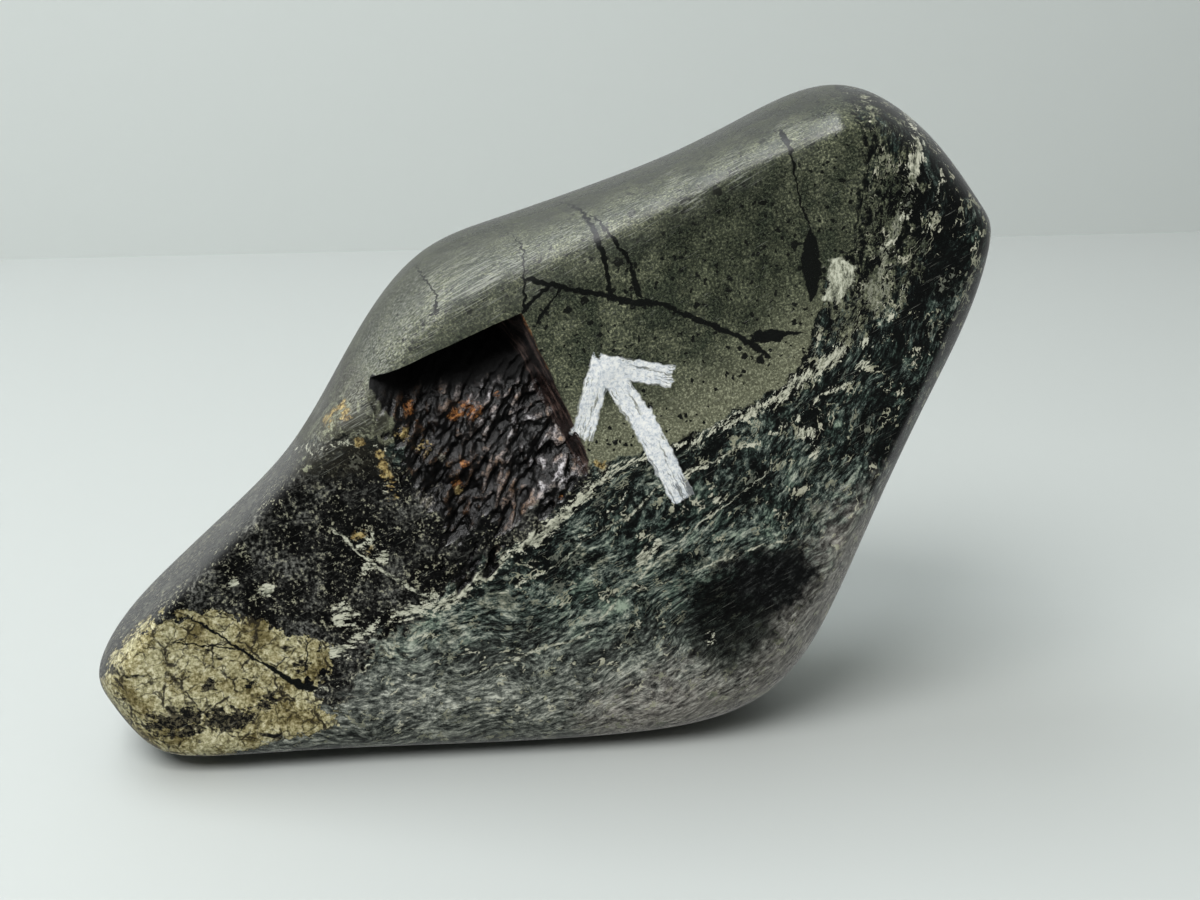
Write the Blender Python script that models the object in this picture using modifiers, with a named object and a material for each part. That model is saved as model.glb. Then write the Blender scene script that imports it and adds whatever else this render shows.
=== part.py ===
"""A polished viewing stone of layered green and grey rock.

It is one solid. The front is a nearly flat polished face, bounded by a ridge that is crisp on the right and
soft elsewhere. The sides flare out to the girth and close in a rounded, slightly uneven back. A hackly broken
hollow is let into the face, deepest under its straight upper edge, and a small flat is ground on the underside.

The stone faces -Y and stands on z = 0, with +X to the right of someone who looks at its face.
"""

import math

import bmesh
import bpy
from mathutils import Vector, noise

MM = 0.001

# Stations round the stone as seen from the front, from the left tip over the top to the right and back
# along the underside, in mm: the edge of the polished face (x, z), the girth (x, z), the girth's depth y,
# and how crisp the ridge of the face is, from 0 to 1.
STATIONS = (
    ((-45.5, 13.5), (-49.3, 10.5), -6.0, 0.0),  # left tip
    ((-41.5, 19.0), (-46.0, 15.0), -4.0, 0.2),
    ((-34.5, 26.0), (-38.0, 22.5), -3.0, 0.3),
    ((-27.0, 34.0), (-29.7, 30.7), -2.5, 0.2),
    ((-21.5, 41.5), (-24.0, 39.0), -2.0, 0.0),
    ((-16.5, 48.5), (-18.8, 47.5), -1.0, 0.0),
    ((-11.0, 53.5), (-12.5, 54.2), 0.0, 0.0),
    ((-3.5, 57.0), (-4.0, 57.6), 0.0, 0.0),
    ((5.0, 60.0), (6.0, 61.0), -0.5, 0.0),
    ((13.5, 63.5), (15.0, 64.4), -1.0, 0.0),
    ((21.0, 66.7), (23.0, 68.4), -2.0, 0.0),
    ((26.5, 68.7), (29.0, 71.0), -3.0, 0.0),
    ((31.5, 68.8), (34.5, 71.0), -5.0, 0.0),  # top
    ((37.5, 65.0), (40.6, 66.5), -7.0, 0.0),
    ((42.0, 59.5), (45.0, 60.5), -9.0, 0.3),
    ((43.6, 56.5), (46.6, 56.5), -9.0, 0.6),  # upper right corner
    ((42.0, 49.5), (45.4, 47.5), -7.0, 0.9),
    ((38.1, 39.3), (41.3, 36.9), -6.0, 0.9),
    ((33.4, 28.5), (36.5, 24.9), -6.0, 0.9),
    ((28.2, 18.0), (32.0, 12.5), -5.5, 0.6),
    ((23.0, 10.5), (27.3, 4.4), -5.0, 0.2),  # lower right corner
    ((16.0, 6.0), (19.8, 1.0), -6.5, 0.0),
    ((6.0, 4.3), (8.0, -0.2), -7.0, 0.0),
    ((-8.0, 4.3), (-8.0, -0.5), -7.0, 0.0),
    ((-23.5, 4.0), (-24.0, 0.0), -7.0, 0.0),
    ((-35.8, 3.4), (-37.0, 0.7), -7.5, 0.0),
    ((-41.6, 5.3), (-44.0, 1.7), -7.5, 0.0),
    ((-45.0, 10.0), (-48.3, 6.5), -6.0, 0.0),
)

# The polished face
FACE_CENTRE = (0.0, 36.0)
FACE_EDGE_DEPTH = -14.0
FACE_SWELL = 1.6  # how far the middle of the face stands in front of its edge
FACE_SWELL_REACH = 42.0
DISH = (21.0, 54.0, 13.0, 0.9)  # a shallow worn dish: x, z, reach and depth
FACE_RINGS = (0.42, 0.80)  # rings of the cage inside the face's edge, as shares of it

# The back closes over a spine that runs along the stone, from end to end (x, z). Each ring of the cage has
# moved some share of the way from the girth to the spine, at depth y, and less of it on the underside.
SPINE = ((-27.0, 15.0), (25.0, 50.0))
BACK_RINGS = ((0.10, 8.0), (0.34, 16.0), (0.68, 20.5))
BACK_CENTRE = (0.0, 32.5)
BACK_CENTRE_DEPTH = 22.5
UNDERSIDE_FULLNESS = (0.85, 0.35, 0.10)  # how much less each ring moves where the girth lies below the spine
UNEVEN_SIZE = 24.0  # the back's slow swells and hollows
UNEVEN_HEIGHT = 1.6
UNEVEN_LAYER = 9.0  # which slice of the noise they are read from

# The broken hollow: its corners on the face (x, z), going round from the upper left
HOLLOW_CORNERS = ((-19.7, 43.7), (-2.9, 51.0), (5.6, 32.9), (-10.6, 19.4))
HOLLOW_DEPTH_LEFT = 2.2  # under the upper edge
HOLLOW_DEPTH_RIGHT = 5.6
FLOOR_CURVE = 0.85  # below 1 the floor keeps its depth for longer before it rises to the lower side
HOLLOW_RUN_OUT = 0.5  # how far the floor rises above the face at its lower side, so that it ends raggedly
WALL_WIDTH = 0.13  # the sloping right wall, as a share of the hollow's width
WALL_LIP = 0.3  # the wall's outer edge stands this far in front of the face, so that the cut is clean
LEFT_RAMP_WIDTH = 0.22
LEFT_RAMP_DEPTH = 0.35  # share of the depth that is left at the very left
LUMP_SIZE = 2.2  # the floor's lumps are ridges this wide that climb to the right
LUMP_STRETCH = 2.2
LUMP_CLIMB = math.radians(60.0)
LUMP_HEIGHT = 1.1
LUMP_LAYER = 3.7  # which slice of the noise the lumps are read from
HOLLOW_CELLS = (24, 28)
CUTTER_FRONT = -26.0

SURFACE_LEVELS = 2
GROUND_BLOCK = (140.0, 80.0, 20.0)

STONE_COLOUR = (0.055, 0.064, 0.050, 1.0)
STONE_ROUGHNESS = 0.32


def clear_scene():
    for obj in list(bpy.data.objects):
        bpy.data.objects.remove(obj)


def new_collection(name):
    collection = bpy.data.collections.new(name)
    bpy.context.scene.collection.children.link(collection)
    return collection


def new_object(name, bm, collection):
    mesh = bpy.data.meshes.new(name)
    bm.to_mesh(mesh)
    bm.free()
    obj = bpy.data.objects.new(name, mesh)
    collection.objects.link(obj)
    return obj


def smoothstep(value):
    value = min(1.0, max(0.0, value))
    return value * value * (3.0 - 2.0 * value)


def between(a, b, share):
    return a + (b - a) * share


def face_depth(x, z):
    """Depth y of the polished face: a low swell with one worn dish."""
    from_centre = math.hypot(x - FACE_CENTRE[0], z - FACE_CENTRE[1]) / FACE_SWELL_REACH
    swell = FACE_SWELL * (1.0 - smoothstep(from_centre))
    dish_x, dish_z, reach, depth = DISH
    dish = depth * math.exp(-((x - dish_x) ** 2 + (z - dish_z) ** 2) / reach**2)
    return FACE_EDGE_DEPTH - swell + dish


def back_point(x, z, share, depth, fullness):
    """A point of the back: the girth's point (x, z) moved a share of the way to the spine, at its depth."""
    (ax, az), (bx, bz) = SPINE
    along = ((x - ax) * (bx - ax) + (z - az) * (bz - az)) / ((bx - ax) ** 2 + (bz - az) ** 2)
    along = min(1.0, max(0.0, along))
    spine_x, spine_z = between(ax, bx, along), between(az, bz, along)
    below = max(0.0, spine_z - z) / math.hypot(spine_x - x, spine_z - z)
    share *= 1.0 - fullness * smoothstep(below)
    x, z = between(x, spine_x, share), between(z, spine_z, share)
    uneven = UNEVEN_HEIGHT * share * noise.noise(Vector((x, z, UNEVEN_LAYER)) / UNEVEN_SIZE)
    return x, depth + uneven, z


def cage_rings():
    """The rings of the cage from the middle of the face to the middle of the back, each a list of (x, y, z)."""
    rings = []
    for share in FACE_RINGS:
        ring = []
        for (x, z), _, _, _ in STATIONS:
            x, z = between(FACE_CENTRE[0], x, share), between(FACE_CENTRE[1], z, share)
            ring.append((x, face_depth(x, z), z))
        rings.append(ring)
    rings.append([(x, FACE_EDGE_DEPTH, z) for (x, z), _, _, _ in STATIONS])
    rings.append([(x, y, z) for _, (x, z), y, _ in STATIONS])
    for (share, depth), fullness in zip(BACK_RINGS, UNDERSIDE_FULLNESS):
        rings.append([back_point(x, z, share, depth, fullness) for _, (x, z), _, _ in STATIONS])
    return rings


def stone_cage(collection):
    """A coarse sphere whose rings are moved to the stone's stations, with the ridge of the face creased."""
    around = len(STATIONS)
    rings = cage_rings()
    bands = len(rings) + 1
    bm = bmesh.new()
    bmesh.ops.create_uvsphere(bm, u_segments=around, v_segments=bands, radius=1.0)
    ring_of = {}
    for vert in bm.verts:
        band = round(math.acos(max(-1.0, min(1.0, vert.co.z))) / math.pi * bands)
        station = round(math.atan2(vert.co.y, vert.co.x) / math.tau * around) % around
        ring_of[vert] = (band, station)
    for vert, (band, station) in ring_of.items():
        if band == 0:
            place = (FACE_CENTRE[0], face_depth(*FACE_CENTRE), FACE_CENTRE[1])
        elif band == bands:
            place = (BACK_CENTRE[0], BACK_CENTRE_DEPTH, BACK_CENTRE[1])
        else:
            place = rings[band - 1][station]
        vert.co = Vector(place) * MM
    crease = bm.edges.layers.float.new("crease_edge")
    ridge_band = len(FACE_RINGS) + 1
    for edge in bm.edges:
        (band_a, station_a), (band_b, station_b) = (ring_of[v] for v in edge.verts)
        if band_a == band_b == ridge_band:
            edge[crease] = 0.5 * (STATIONS[station_a][3] + STATIONS[station_b][3])
    bmesh.ops.recalc_face_normals(bm, faces=bm.faces)
    return new_object("viewing_stone", bm, collection)


def smooth_through(obj, levels, rounds=4):
    """Adds the smooth surface, and pulls the cage out until that surface passes through the stations."""
    surface = obj.modifiers.new("smooth form", "SUBSURF")
    surface.levels = levels
    surface.render_levels = levels
    wanted = [vert.co.copy() for vert in obj.data.vertices]
    for _ in range(rounds):
        bpy.context.view_layer.update()
        evaluated = obj.evaluated_get(bpy.context.evaluated_depsgraph_get())
        reached = [evaluated.data.vertices[i].co.copy() for i in range(len(wanted))]
        for vert, goal, at in zip(obj.data.vertices, wanted, reached):
            vert.co += goal - at
    obj.data.update()


def ground_flat_cutter(collection):
    """A block under z = 0 that leaves the small ground flat."""
    width, depth, height = GROUND_BLOCK
    bm = bmesh.new()
    bmesh.ops.create_cube(bm, size=1.0)
    for vert in bm.verts:
        vert.co = Vector((vert.co.x * width, vert.co.y * depth, (vert.co.z - 0.5) * height)) * MM
    return new_object("ground_flat_cutter", bm, collection)


def hollow_point(across, down):
    """(x, z) on the face: across runs along the upper edge, down along the right edge, both from 0 to 1."""
    (ax, az), (bx, bz), (cx, cz), (dx, dz) = HOLLOW_CORNERS
    x = between(between(ax, bx, across), between(dx, cx, across), down)
    z = between(between(az, bz, across), between(dz, cz, across), down)
    return x, z


def hollow_depth(across, down):
    """Depth of the hollow's floor below the face: a slope from the upper edge to the lower side, with lumps."""
    deepest = between(HOLLOW_DEPTH_LEFT, HOLLOW_DEPTH_RIGHT, smoothstep(across))
    floor = deepest * (1.0 - down) ** FLOOR_CURVE - HOLLOW_RUN_OUT * smoothstep(3.0 * down - 2.0)
    wall = smoothstep((1.0 - across) / WALL_WIDTH)
    ramp = between(LEFT_RAMP_DEPTH, 1.0, smoothstep(across / LEFT_RAMP_WIDTH))
    x, z = hollow_point(across, down)
    along = x * math.cos(LUMP_CLIMB) + z * math.sin(LUMP_CLIMB)
    over = x * math.sin(LUMP_CLIMB) - z * math.cos(LUMP_CLIMB)
    lump = noise.noise(Vector((over / LUMP_SIZE, along / (LUMP_STRETCH * LUMP_SIZE), LUMP_LAYER)))
    lumps = LUMP_HEIGHT * lump * smoothstep(4.0 * down) * wall
    return floor * wall * ramp + lumps - WALL_LIP * (1.0 - wall)


def hollow_cutter(collection):
    """The hollow's rough floor, extruded out through the front of the face."""
    columns, rows = HOLLOW_CELLS
    bm = bmesh.new()
    bmesh.ops.create_grid(bm, x_segments=columns, y_segments=rows, size=0.5)
    for vert in bm.verts:
        across, down = vert.co.x + 0.5, 0.5 - vert.co.y
        x, z = hollow_point(across, down)
        vert.co = Vector((x, face_depth(x, z) + hollow_depth(across, down), z)) * MM
    front = bmesh.ops.extrude_face_region(bm, geom=bm.faces[:], use_keep_orig=True)
    for vert in (item for item in front["geom"] if isinstance(item, bmesh.types.BMVert)):
        vert.co.y = CUTTER_FRONT * MM
    bmesh.ops.recalc_face_normals(bm, faces=bm.faces)
    return new_object("hollow_cutter", bm, collection)


def cut(obj, cutter):
    cutter.hide_render = True
    cutter.display_type = "WIRE"
    modifier = obj.modifiers.new(cutter.name, "BOOLEAN")
    modifier.operation = "DIFFERENCE"
    modifier.object = cutter


def polished_stone_material():
    material = bpy.data.materials.new("polished_green_grey_stone")
    material.use_nodes = True
    shader = material.node_tree.nodes["Principled BSDF"]
    shader.inputs["Base Color"].default_value = STONE_COLOUR
    shader.inputs["Roughness"].default_value = STONE_ROUGHNESS
    shader.inputs["Metallic"].default_value = 0.0
    return material


def main():
    clear_scene()
    parts = new_collection("polished_viewing_stone")
    cutters = new_collection("cutters")
    stone = stone_cage(parts)
    smooth_through(stone, SURFACE_LEVELS)
    cut(stone, hollow_cutter(cutters))
    cut(stone, ground_flat_cutter(cutters))
    stone.data.materials.append(polished_stone_material())
    stone.data.shade_smooth()


main()
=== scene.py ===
import math

import bpy
import numpy as np
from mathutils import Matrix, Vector, noise


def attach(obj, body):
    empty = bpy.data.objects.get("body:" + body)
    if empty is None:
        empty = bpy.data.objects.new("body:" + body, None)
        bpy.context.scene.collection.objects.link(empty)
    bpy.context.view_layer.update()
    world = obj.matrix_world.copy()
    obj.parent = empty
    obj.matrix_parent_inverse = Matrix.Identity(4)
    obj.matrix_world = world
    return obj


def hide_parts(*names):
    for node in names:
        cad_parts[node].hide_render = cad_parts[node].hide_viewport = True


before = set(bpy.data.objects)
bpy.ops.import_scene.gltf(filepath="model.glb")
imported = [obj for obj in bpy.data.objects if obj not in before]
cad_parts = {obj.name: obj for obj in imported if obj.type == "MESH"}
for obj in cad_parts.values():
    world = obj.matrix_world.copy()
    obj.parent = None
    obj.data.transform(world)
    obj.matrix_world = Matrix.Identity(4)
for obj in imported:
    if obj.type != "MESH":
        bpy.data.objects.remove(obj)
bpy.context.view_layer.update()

mm = 0.001
noise.seed_set(7)  # without a seed, noise_vector differs from run to run

# A polished viewing stone of layered green and grey rock. It faces -Y and stands on its ground flat at z = 0.
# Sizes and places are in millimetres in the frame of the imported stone; mm turns them to metres.

# The photo's view: lens and sensor width, place, tilt and turn in degrees
view = {
    "lens": 55.0, "sensor": 36.0, "clipStart": 10.0, "clipEnd": 20000.0,
    "place": (-15.74, -194.74, 94.74), "tilt": 72.0, "turn": -6.5,
}

# The stone's form: stations round it, from the left tip over the top to the right and back underneath.
# Each gives the edge of the polished face (x, z), the girth (x, z), the girth's depth y and how crisp the
# ridge between face and side is.
form = {
    "stations": (
        ((-45.5, 13.5), (-49.3, 10.5), -6, 0),  # left tip
        ((-41.5, 19), (-46, 15), -4, 0.2),
        ((-34.5, 26), (-38, 22.5), -3, 0.3),
        ((-27, 34), (-29.7, 30.7), -2.5, 0.2),
        ((-21.5, 41.5), (-24, 39), -2, 0),
        ((-16.5, 48.5), (-18.8, 47.5), -1, 0),
        ((-11, 53.5), (-12.5, 54.2), 0, 0),
        ((-3.5, 57), (-4, 57.6), 0, 0),
        ((5, 60), (6, 61), -0.5, 0),
        ((13.5, 63.5), (15, 64.4), -1, 0),
        ((21, 66.7), (23, 68.4), -2, 0),
        ((26.5, 68.7), (29, 71), -3, 0),
        ((31.5, 68.8), (34.5, 71), -5, 0),  # top
        ((37.5, 65), (40.6, 66.5), -7, 0),
        ((42, 59.5), (45, 60.5), -9, 0.3),
        ((43.6, 56.5), (46.6, 56.5), -9, 0.6),  # upper right corner
        ((42, 49.5), (45.4, 47.5), -7, 0.9),
        ((38.1, 39.3), (41.3, 36.9), -6, 0.9),
        ((33.4, 28.5), (36.5, 24.9), -6, 0.9),
        ((28.2, 18), (32, 12.5), -5.5, 0.6),
        ((23, 10.5), (27.3, 4.4), -5, 0.2),  # lower right corner
        ((16, 6), (19.8, 1), -6.5, 0),
        ((6, 4.3), (8, -0.2), -7, 0),
        ((-8, 4.3), (-8, -0.5), -7, 0),
        ((-23.5, 4), (-24, 0), -7, 0),
        ((-35.8, 3.4), (-37, 0.7), -7.5, 0),
        ((-41.6, 5.3), (-44, 1.7), -7.5, 0),
        ((-45, 10), (-48.3, 6.5), -6, 0),
    ),
    "faceCentre": (0.0, 36.0), "faceEdgeDepth": -14.0, "faceSwell": 1.6, "swellReach": 42.0,
    "dish": (21.0, 54.0, 13.0, 0.9),  # x, z, reach and depth of the worn dish
    "faceRings": (0.42, 0.80),
    "spine": ((-27.0, 15.0), (25.0, 50.0)),  # the back closes over this line
    "backRings": ((0.10, 8.0), (0.34, 16.0), (0.68, 20.5)),
    "backCentre": (0.0, 32.5), "backCentreDepth": 22.5,
    "undersideFullness": (0.85, 0.35, 0.10),
    "unevenSize": 24.0, "unevenHeight": 1.6, "unevenLayer": 9.0,
    "levels": 4, "pulls": 4, "shadeAngle": 38.0,
    "rollAbove": 43.0,  # the scuffed spots above this height lie on the soft roll
    "rollPasses": ((0.30, -7.0, 60), (0.10, -5.0, 60), (0.02, -3.5, 50)),  # nearness, depth y and repeats
}

# The broken hollow in the face
hollow = {
    "corners": ((-19.7, 43.7), (-2.9, 51.0), (5.6, 32.9), (-10.6, 19.4)),  # from the upper left, clockwise
    "depthLeft": 2.2, "depthRight": 5.6, "floorCurve": 0.85, "runOut": 0.5,
    "wallWidth": 0.13, "wallLip": 0.3, "leftRampWidth": 0.22, "leftRampDepth": 0.05,
    "lumpSize": 2.2, "lumpStretch": 2.2, "climb": 60.0, "lumpHeight": 1.1, "lumpLayer": 3.7,
    "ridgeWidth": 0.62, "ridgeStretch": 2.3, "ridgeHeight": 0.60, "ridgeLayer": 1.3,
    "ridgeStray": 0.5, "strayFineness": 0.45,  # the hackly ridges on the lumps
    "chipWidth": 0.36, "chipStretch": 1.6, "chipHeight": 0.20, "chipLayer": 5.1,
    "grainOnLedge": 0.25,  # the share of the ridges and chips that the ledge keeps
    "fray": 0.8, "frayLeast": 0.15, "fraySize": 3.0, "frayLayer": 8.0,  # how the open edges stray
    # painted shadow: the black band under the ledge
    "shadeRight": 8.0, "shadeSlope": 0.34,  # the blackened band under the ledge, growing to the right
    "grooveDepth": 3.0, "grooveWidth": 0.24,  # the undercut that keeps the foot of the ledge black
    "columns": 160, "rows": 180, "front": -26.0,
}


def deselectAll():
    bpy.ops.object.select_all(action="DESELECT")


def between(a, b, share):
    return a + (b - a) * share


def smoothstep(value):
    value = min(1.0, max(0.0, value))
    return value * value * (3.0 - 2.0 * value)


def pick(piece):
    # Makes the piece the one that operators work on
    deselectAll()
    piece.select_set(True)
    bpy.context.view_layer.objects.active = piece


def faceOutwards():
    bpy.ops.object.mode_set(mode="EDIT")
    bpy.ops.mesh.select_all(action="SELECT")
    bpy.ops.mesh.normals_make_consistent(inside=False)
    bpy.ops.object.mode_set(mode="OBJECT")


def applyAll(piece):
    pick(piece)
    for name in [modifier.name for modifier in piece.modifiers]:
        bpy.ops.object.modifier_apply(modifier=name)


def faceDepth(x, z):
    cx, cz = form["faceCentre"]
    swell = form["faceSwell"] * (1.0 - smoothstep(math.hypot(x - cx, z - cz) / form["swellReach"]))
    dishX, dishZ, reach, depth = form["dish"]
    dish = depth * math.exp(-((x - dishX) ** 2 + (z - dishZ) ** 2) / reach**2)
    return form["faceEdgeDepth"] - swell + dish


def backPoint(x, z, share, depth, fullness):
    (ax, az), (bx, bz) = form["spine"]
    along = ((x - ax) * (bx - ax) + (z - az) * (bz - az)) / ((bx - ax) ** 2 + (bz - az) ** 2)
    along = min(1.0, max(0.0, along))
    spineX, spineZ = between(ax, bx, along), between(az, bz, along)
    below = max(0.0, spineZ - z) / math.hypot(spineX - x, spineZ - z)
    share *= 1.0 - fullness * smoothstep(below)
    x, z = between(x, spineX, share), between(z, spineZ, share)
    spot = Vector((x, z, form["unevenLayer"])) / form["unevenSize"]
    return x, depth + form["unevenHeight"] * share * noise.noise(spot), z


def formRings():
    stations = form["stations"]
    cx, cz = form["faceCentre"]
    rings = []
    for share in form["faceRings"]:
        inner = [(between(cx, x, share), between(cz, z, share)) for (x, z), _, _, _ in stations]
        rings.append([(x, faceDepth(x, z), z) for x, z in inner])
    rings.append([(x, form["faceEdgeDepth"], z) for (x, z), _, _, _ in stations])
    rings.append([(x, y, z) for _, (x, z), y, _ in stations])
    for (share, depth), fullness in zip(form["backRings"], form["undersideFullness"]):
        rings.append([backPoint(x, z, share, depth, fullness) for _, (x, z), _, _ in stations])
    return rings


def makeStone():
    stations, rings = form["stations"], formRings()
    around, bands = len(stations), len(rings) + 1
    deselectAll()
    bpy.ops.mesh.primitive_uv_sphere_add(segments=around, ring_count=bands, radius=1.0)
    stone = bpy.context.object
    stone.name = stone.data.name = "polishedStone"
    spot = []
    for vert in stone.data.vertices:
        band = round(math.acos(max(-1.0, min(1.0, vert.co.z))) / math.pi * bands)
        station = round(math.atan2(vert.co.y, vert.co.x) / math.tau * around) % around
        spot.append((band, station))
    wanted = []
    for band, station in spot:
        if band == 0:
            place = (form["faceCentre"][0], faceDepth(*form["faceCentre"]), form["faceCentre"][1])
        elif band == bands:
            place = (form["backCentre"][0], form["backCentreDepth"], form["backCentre"][1])
        else:
            place = rings[band - 1][station]
        wanted.append(Vector(place) * mm)
    for vert, place in zip(stone.data.vertices, wanted):
        vert.co = place
    crease = stone.data.attributes.new("crease_edge", "FLOAT", "EDGE")
    ridgeBand = len(form["faceRings"]) + 1
    for edge in stone.data.edges:
        (bandA, a), (bandB, b) = (spot[i] for i in edge.vertices)
        if bandA == bandB == ridgeBand:
            crease.data[edge.index].value = 0.5 * (stations[a][3] + stations[b][3])
    faceOutwards()

    smooth = stone.modifiers.new("smooth form", "SUBSURF")
    smooth.levels = smooth.render_levels = 1
    # The cage is pulled out until the smooth surface passes through the stations
    for _ in range(form["pulls"]):
        bpy.context.view_layer.update()
        reached = stone.evaluated_get(bpy.context.evaluated_depsgraph_get()).data.vertices
        reached = [reached[i].co.copy() for i in range(len(wanted))]
        for vert, goal, at in zip(stone.data.vertices, wanted, reached):
            vert.co += goal - at
    smooth.levels = smooth.render_levels = form["levels"]
    applyAll(stone)
    return stone


def softenRoll(stone):
    # The face runs over into the top and left sides in a soft roll, not over an edge. Each pass is wider and
    # so leaves no crease at the rim of the one before.
    rolls = np.array([spot for spot in spots["scuffed"] if spot[1] > form["rollAbove"]])
    for least, depth, count in form["rollPasses"]:
        for vert in stone.data.vertices:
            x, y, z = vert.co / mm
            near = np.exp(-((rolls[:, 0] - x) ** 2 + (rolls[:, 1] - z) ** 2) / rolls[:, 2] ** 2).sum()
            vert.select = bool(near > least and y < depth)
        for part in list(stone.data.edges) + list(stone.data.polygons):
            part.select = all(stone.data.vertices[i].select for i in part.vertices)
        bpy.ops.object.mode_set(mode="EDIT")
        bpy.ops.mesh.vertices_smooth(factor=0.5, repeat=count)
        bpy.ops.object.mode_set(mode="OBJECT")


def hollowPoint(across, down):
    (ax, az), (bx, bz), (cx, cz), (dx, dz) = hollow["corners"]
    x = between(between(ax, bx, across), between(dx, cx, across), down)
    z = between(between(az, bz, across), between(dz, cz, across), down)
    stray = noise.noise_vector(Vector((x, z, hollow["frayLayer"])) / hollow["fraySize"])
    low = smoothstep(4.0 * down - 3.0) * smoothstep(4.0 - 4.0 * across)
    amount = hollow["fray"] * max(hollow["frayLeast"], smoothstep(1.0 - 4.0 * across), low)
    return x + amount * stray.x, z + amount * stray.y


def climbed(x, z):
    # A place of the face, measured along the climb of the break and across it
    climb = math.radians(hollow["climb"])
    return x * math.cos(climb) + z * math.sin(climb), x * math.sin(climb) - z * math.cos(climb)


def hollowGrain(x, z):
    # The hackly ridges and chips of the break at a place of the face, higher towards the viewer
    h = hollow
    along, over = climbed(x, z)
    stray = noise.noise_vector(Vector((x, z, 0.0)) * h["strayFineness"]) * h["ridgeStray"]
    ridge = Vector((over / h["ridgeWidth"] + stray.x, along / (h["ridgeStretch"] * h["ridgeWidth"]) + stray.y,
                    h["ridgeLayer"]))
    chip = Vector((over / h["chipWidth"], along / (h["chipStretch"] * h["chipWidth"]), h["chipLayer"]))
    return h["ridgeHeight"] * noise.noise(ridge) + h["chipHeight"] * noise.noise(chip)


def hollowDepth(across, down):
    h = hollow
    deepest = between(h["depthLeft"], h["depthRight"], smoothstep(across))
    floor = deepest * max(0.0, 1.0 - down) ** h["floorCurve"] - h["runOut"] * smoothstep(3.0 * down - 2.0)
    wall = smoothstep((1.0 - across) / h["wallWidth"])
    ramp = between(h["leftRampDepth"], 1.0, smoothstep(across / h["leftRampWidth"]))
    x, z = hollowPoint(across, down)
    along, over = climbed(x, z)
    lump = Vector((over / h["lumpSize"], along / (h["lumpStretch"] * h["lumpSize"]), h["lumpLayer"]))
    rough = smoothstep(4.0 * down) * wall
    lumps = h["lumpHeight"] * noise.noise(lump) * rough
    grain = hollowGrain(x, z) * between(h["grainOnLedge"], 1.0, rough) * smoothstep(1.6 * wall)
    groove = h["grooveDepth"] * smoothstep(1.0 - down / h["grooveWidth"]) * smoothstep(4.0 * across)
    return (floor + groove) * wall * ramp + lumps - grain - h["wallLip"] * (1.0 - wall)


def makeHollowCutter():
    deselectAll()
    bpy.ops.mesh.primitive_grid_add(x_subdivisions=hollow["columns"], y_subdivisions=hollow["rows"], size=1.0)
    cutter = bpy.context.object
    cutter.name = "hollowCutter"
    for vert in cutter.data.vertices:
        across, down = vert.co.x + 0.5, 0.5 - vert.co.y
        x, z = hollowPoint(across, down)
        vert.co = Vector((x, faceDepth(x, z) + hollowDepth(across, down), z)) * mm
    bpy.ops.object.mode_set(mode="EDIT")
    bpy.ops.mesh.select_all(action="SELECT")
    bpy.ops.mesh.extrude_region_move()
    bpy.ops.object.mode_set(mode="OBJECT")
    for vert in cutter.data.vertices:
        if vert.select:
            vert.co.y = hollow["front"] * mm
    faceOutwards()
    return cutter


def cutHollow(stone, rock):
    # The faces of the break come out in the second of two like slots, which markRock reads and takes away
    cutter = makeHollowCutter()
    for piece in (stone, cutter):
        piece.data.materials.append(rock)
        piece.data.materials.append(rock)
    for face in cutter.data.polygons:
        face.material_index = 1
    cut = stone.modifiers.new("broken hollow", "BOOLEAN")
    cut.operation = "DIFFERENCE"
    cut.solver = "EXACT"
    cut.material_mode = "INDEX"
    cut.object = cutter
    applyAll(stone)
    bpy.data.objects.remove(cutter)


def grindFlat(stone):
    pick(stone)
    bpy.ops.object.mode_set(mode="EDIT")
    bpy.ops.mesh.select_all(action="SELECT")
    bpy.ops.mesh.bisect(plane_co=(0, 0, 0), plane_no=(0, 0, 1), use_fill=True, clear_inner=True,
                        threshold=0.000001)
    bpy.ops.object.mode_set(mode="OBJECT")


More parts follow.
